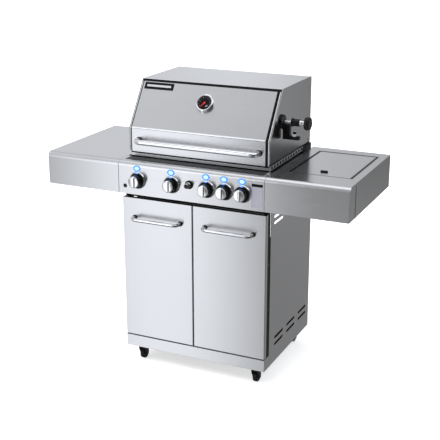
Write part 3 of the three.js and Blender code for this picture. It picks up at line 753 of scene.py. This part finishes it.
def make_hood():
    fold, ridge = (LID_FRONT, LID_FOLD), (LID_TOP_FRONT, LID_TOP)
    front_foot, back_edge = (LID_FRONT, LID_BOTTOM), (LID_BACK, LID_TOP)
    back_foot = (LID_BACK, LID_BOTTOM)
    front_bend, back_bend, shade_sheet_bend = 12, 5, 6
    # The front sheet stops short of the roof and of both ends, so that the black sheet beneath
    # shows as a seam: painted shade in the seam gaps
    seam, left_edge, right_edge = 12, -297.5, 290.5
    slope = (Vector(ridge) - Vector(fold)).normalized()
    front = soft_profile([front_foot, fold, Vector(ridge) - slope * seam], front_bend)
    rear = soft_profile([(LID_TOP_FRONT + 1, LID_TOP), back_edge, back_foot], back_bend)
    whole = soft_profile([front_foot, fold, ridge, back_edge, back_foot], shade_sheet_bend)
    half = LID_SHEET_HALF
    sheets = {
        "hood_roof_sheet": ("brushed_steel", folded_sheet(rear, 0, 1.2, -half, half)),
        # The black sheet under the seams is painted shade.
        "hood_seam_shade_sheet": ("dial_black", folded_sheet(whole, 1.4, 0.8, -half, half)),
        "hood_lining": ("inner_steel", folded_sheet(whole, 2.3, 0.7, -303, 303)),
    }
    face = folded_sheet(front, 0, 1.2, left_edge, right_edge)
    add_piece("hood_front_sheet", face, "brushed_steel", "lid", ["lid_hood"], sharp=40)
    for name, (slot, sheet) in sheets.items():
        add_piece(name, sheet, slot, "lid", sharp=40)
    for side in ("left", "right"):
        refined(f"lid_{side}_end", 0.9)
    # Bright strips beside the side seams are a painted highlight along the end plates' front edges.
    highlight_strip_edges = ((302.2, 305.2), (-305.2, -302.2))
    side_highlight_strips = [folded_sheet(front, 0.1, 1.2, *edges) for edges in highlight_strip_edges]
    add_piece("hood_side_highlight_strips", merged(side_highlight_strips), "zinc", "lid", sharp=40)
    # A chrome bar along the fold that stands in for the fold's bright line: a painted highlight.
    fold_highlight_ends = [(x, LID_FRONT + 1.5, LID_FOLD) for x in (left_edge + 0.5, right_edge - 0.5)]
    add_piece("hood_fold_highlight_bar", tube(fold_highlight_ends, 4), "chrome", "lid")
    skirts = both_sides(307.2, 308.8, 236, LID_BACK, 908.5, 934)
    add_piece("hood_rear_skirts", merged(skirts), "dial_black", "lid")
    place = slope_matrix(x=-224, along=0.86)
    plate = moved(block(-66, 66, -15, 15, -0.5, 1.6), place)
    add_piece("blank_badge", plate, "dial_black", "lid", round_edges=0.5)
    inlay = moved(block(-55, 55, -4.5, 4.5, 0, 2.0), place)
    add_piece("blank_badge_inlay", inlay, "chrome", "lid", round_edges=0.3)


def make_gauge():
    place = slope_matrix(0, (GAUGE_Z - LID_FOLD) / (LID_TOP - LID_FOLD))
    dial_radius, dial_face, mark_face = 29, 9.4, 9.75
    ring = [(0, -49), (3.4, -49), (3.4, 0.3), (39.5, 0.3), (40, 1), (40, 7), (38.8, 10.5)]
    ring += [(36, 13.4), (33, 14), (30.5, 13), (29.2, 11), (dial_radius, 9.3), (0, 9.3)]
    rim = moved(lathe(ring, (0, 0, 0), UPWARD, 56), place)
    add_piece("gauge_rim", rim, "chrome", "lid", ["gauge_housing"])
    disc = [(dial_radius, 9.2), (dial_radius, 9.5), (0, 9.55)]
    add_piece("gauge_dial", moved(lathe(disc, (0, 0, 0), UPWARD, 48), place), "dial_black", "lid")
    marks = []
    mark_count, first_angle, angle_step, mark_end = 11, -125, 25, 26
    for i in range(mark_count):
        turn = Matrix.Rotation(math.radians(first_angle + angle_step * i), 4, "Z")
        length = 6 if i % 2 == 0 else 3.5
        tick = block(-0.6, 0.6, mark_end - length, mark_end, dial_face, mark_face)
        marks.append(moved(tick, place @ turn))
    turn = Matrix.Rotation(math.radians(-140), 4, "Z")
    marks.append(moved(block(-5, 5, 15, 19, dial_face, mark_face), place @ turn))
    add_piece("gauge_marks", merged(marks), "plain_plate", "lid")
    refined("gauge_needle", 0.3)


# Spit fitting


def make_spit():
    refined("spit_bracket", 1.2)
    axis_y, axis_z = SPIT_AXIS
    start = (node_box("spit_spindle")[0].x, axis_y, axis_z)
    shaft = [(0, 0), (6.9, 0.5), (6.9, 61), (11, 62), (11, 66), (12, 67), (12, 99), (10, 102)]
    shaft += [(10, 108), (9, 109), (9, 121), (0, 121)]
    shaft_mesh = lathe(shaft, start, TOWARD_RIGHT, 32)
    add_piece("spindle_shaft", shaft_mesh, "chrome", "spindle", ["spit_spindle"])
    hub = [(11, 65), (16, 65), (17, 66), (17, 71), (15.5, 73), (14, 74), (14, 98), (13, 100)]
    hub += [(11, 100), (11, 65)]
    add_piece("spindle_hub", lathe(hub, start, TOWARD_RIGHT, 32), "black_plastic", "spindle")
    knob = [(0, 120), (18, 120), (24, 122), (26, 126), (26, 137), (24.5, 140.5), (21, 142)]
    knob += [(0, 142)]
    add_piece("spindle_knob", lathe(knob, start, TOWARD_RIGHT), "black_plastic", "spindle")
    screw = [(0, 0), (8.5, 0), (9.5, 1), (9.5, 8), (8.5, 9), (5, 10), (5, 20), (4, 21), (0, 21)]
    screw_x, bracket_foot = 364, 1029
    screw_mesh = lathe(screw, (screw_x, axis_y, bracket_foot), UPWARD, 24)
    add_piece("bracket_thumbscrew", screw_mesh, "zinc", "lid")


# Casters


def make_casters():
    names = [f"{end}_{side}_caster" for end in ("front", "rear") for side in ("left", "right")]
    for name in names:
        refined(f"{name}_fork", 1.0)
        wheel = f"{name}_wheel"
        low, high = node_box(wheel)
        radius, axle = (high.z - low.z) / 2, (high.x - low.x) / 2
        half = [(0, axle), (3.4, axle), (3.4, 10), (8, 10), (9, 8), (17, 8), (18, 10), (21, 10)]
        half += [(radius - 1, 8.5), (radius, 5)]
        profile = half + [(r, -h) for r, h in reversed(half)]
        tyre = lathe(profile, tuple(node_centre(wheel)), TOWARD_RIGHT, 48)
        add_piece(f"{name}_tyre", tyre, "caster_black", wheel, [wheel])


# Studio

# What the metal mirrors. Each sky is a band of heights, from the lowest up. Its stops are
# (degrees, brightness), with the degrees counted from the front toward +X.
FLOOR_SKY = [
    (-180, 0.6), (-120, 0.7), (-90, 0.7), (-60, 0.5), (-41, 0.45), (-36, 0.5), (-33.5, 0.9),
    (-31, 1.45), (-25.5, 1.45), (-23.9, 1.05), (-22.4, 0.74), (-21.2, 0.4), (-17, 0.36), (-6, 0.5),
    (5, 0.5), (14, 0.3), (25, 0.12), (60, 0.12), (75, 0.25), (120, 0.25), (165, 0.25), (180, 0.6),
]
EYE_SKY = [
    (-180, 0.6), (-120, 0.7), (-90, 0.7), (-60, 0.5), (-41, 0.36), (-36, 0.3), (-34.6, 0.38),
    (-33.3, 0.95), (-31.8, 1.48), (-25.4, 1.48), (-24.4, 1.2), (-23.4, 0.65), (-22.5, 0.2),
    (-21.4, 0.16), (-16, 0.2), (-6, 0.5), (5, 0.5), (14, 0.15), (30, 0.06), (90, 0.12), (140, 0.34),
    (158, 0.36), (165, 0.13), (180, 0.4),
]
LOW_SKY = [
    (-180, 0.5), (-168, 0.5), (-162, 0.64), (-156, 0.94), (-149, 0.82), (-130, 0.75), (-90, 0.7),
    (-60, 0.6), (-36, 0.6), (-33, 1.2), (-31, 1.8), (-24.5, 1.8), (-22, 0.8), (-20.5, 0.3),
    (-16, 0.4), (5, 0.5), (14, 0.1), (45, 0.03), (90, 0.03), (150, 0.02), (165, 0.02), (180, 0.5),
]
HIGH_SKY = [
    (-180, 0.6), (-60, 0.85), (-44, 0.82), (-39, 0.72), (-35, 0.56), (-29, 0.45), (-15, 0.33),
    (0, 0.5), (25, 0.6), (40, 1.5), (100, 1.5), (125, 0.3), (180, 0.6),
]
TOP_SKY = [(-180, 1.1), (-120, 1.4), (0, 1.5), (60, 0.9), (120, 0.7), (180, 1.1)]
# Each pair is the height, in degrees, over which one sky turns into the next
SKY_SEAMS = [(-20, -15), (-5, 4), (27, 37), (56, 66)]
DEEP_SEAM = (-60, -32)


def brightness_ramp(tree, stops, position):
    """A colour ramp of (degrees, brightness) stops. Brightness is halved to stay below one."""
    node = add_node(tree, "ShaderNodeValToRGB", {0: position})
    ramp = node.color_ramp
    ramp.interpolation = "EASE"
    while len(ramp.elements) < len(stops):
        ramp.elements.new(0.5)
    for element, (degrees, value) in zip(ramp.elements, stops):
        cool = 1 + 0.09 * min(value, 1)
        element.position = degrees / 360 + 0.5
        element.color = (value / 2, value / 2 * (0.7 + 0.3 * cool), value / 2 * cool, 1)
    return node.outputs[0]


def rising(tree, height, degrees, low=0.0, high=1.0):
    """Turns from low to high while the height passes the two angles."""
    start, end = (math.sin(math.radians(angle)) for angle in degrees)
    inputs = {"Value": height, "From Min": start, "From Max": end, "To Min": low, "To Max": high}
    return add_node(tree, "ShaderNodeMapRange", inputs, interpolation_type="SMOOTHSTEP").outputs[0]


def make_world():
    scene = bpy.context.scene
    scene.world = bpy.data.worlds.new("studio")
    scene.world.use_nodes = True
    tree = scene.world.node_tree
    background = tree.nodes["Background"]
    toward = add_node(tree, "ShaderNodeTexCoord")
    parts = add_node(tree, "ShaderNodeSeparateXYZ", {0: toward.outputs["Generated"]})
    x, y, z = parts.outputs
    azimuth = maths(tree, "ARCTAN2", x, maths(tree, "MULTIPLY", y, -1.0))
    position = maths(tree, "ADD", maths(tree, "MULTIPLY", azimuth, 0.5 / math.pi), 0.5)
    sky = brightness_ramp(tree, FLOOR_SKY, position)
    for stops, seam in zip((EYE_SKY, LOW_SKY, HIGH_SKY, TOP_SKY), SKY_SEAMS):
        above = brightness_ramp(tree, stops, position)
        inputs = {0: rising(tree, z, seam), 6: sky, 7: above}
        sky = add_node(tree, "ShaderNodeMix", inputs, data_type="RGBA").outputs[2]
    tree.links.new(sky, background.inputs["Color"])
    tree.links.new(rising(tree, z, DEEP_SEAM, 0.2, 2.0), background.inputs["Strength"])
    seen = add_node(tree, "ShaderNodeLightPath").outputs["Is Camera Ray"]
    paper = add_node(tree, "ShaderNodeBackground", {"Color": (1, 1, 1, 1), "Strength": 1.0})
    inputs = {0: seen, 1: background.outputs[0], 2: paper.outputs[0]}
    choice = add_node(tree, "ShaderNodeMixShader", inputs)
    tree.links.new(choice.outputs[0], tree.nodes["World Output"].inputs["Surface"])


def make_floor():
    half = 60 / MM
    corners = [(-half, -half, 0), (half, -half, 0), (half, half, 0), (-half, half, 0)]
    mesh = new_mesh(corners, [(0, 1, 2, 3)])
    data = bpy.data.meshes.new("floor")
    mesh.to_mesh(data)
    mesh.free()
    floor = bpy.data.objects.new("floor", data)
    bpy.context.scene.collection.objects.link(floor)
    paper = new_material(
        "white_paper",
        Base_Color=(0.9, 0.9, 0.91, 1),
        Roughness=0.9,
        Specular_IOR_Level=0.0,
        Emission_Color=(1, 1, 1, 1),
        Emission_Strength=0.62,
    )[0]
    data.materials.append(paper)
    floor.visible_glossy = False


def make_sun():
    lamp = bpy.data.lights.new("sun", "SUN")
    lamp.energy = 1.7
    lamp.angle = math.radians(40)
    sun = bpy.data.objects.new("sun", lamp)
    sun.rotation_euler = Vector((-0.35, -0.5, 1.0)).to_track_quat("Z", "Y").to_euler()
    sun.visible_glossy = False
    bpy.context.scene.collection.objects.link(sun)


def make_camera():
    lens = bpy.data.cameras.new("camera")
    lens.lens = 79.39
    lens.sensor_width = 36
    camera = bpy.data.objects.new("camera", lens)
    camera.location = (1.6514, -3.5402, 1.9056)
    target = Vector((0.0021, 0.0359, 0.6084))
    camera.rotation_euler = (target - camera.location).to_track_quat("-Z", "Y").to_euler()
    bpy.context.scene.collection.objects.link(camera)
    bpy.context.scene.camera = camera


make_cabinet()
make_shelves()
make_firebox()
make_handles()
make_panel()
make_hood()
make_gauge()
make_spit()
make_casters()
make_world()
make_floor()
make_sun()
make_camera()
bpy.context.scene.view_settings.view_transform = "Standard"
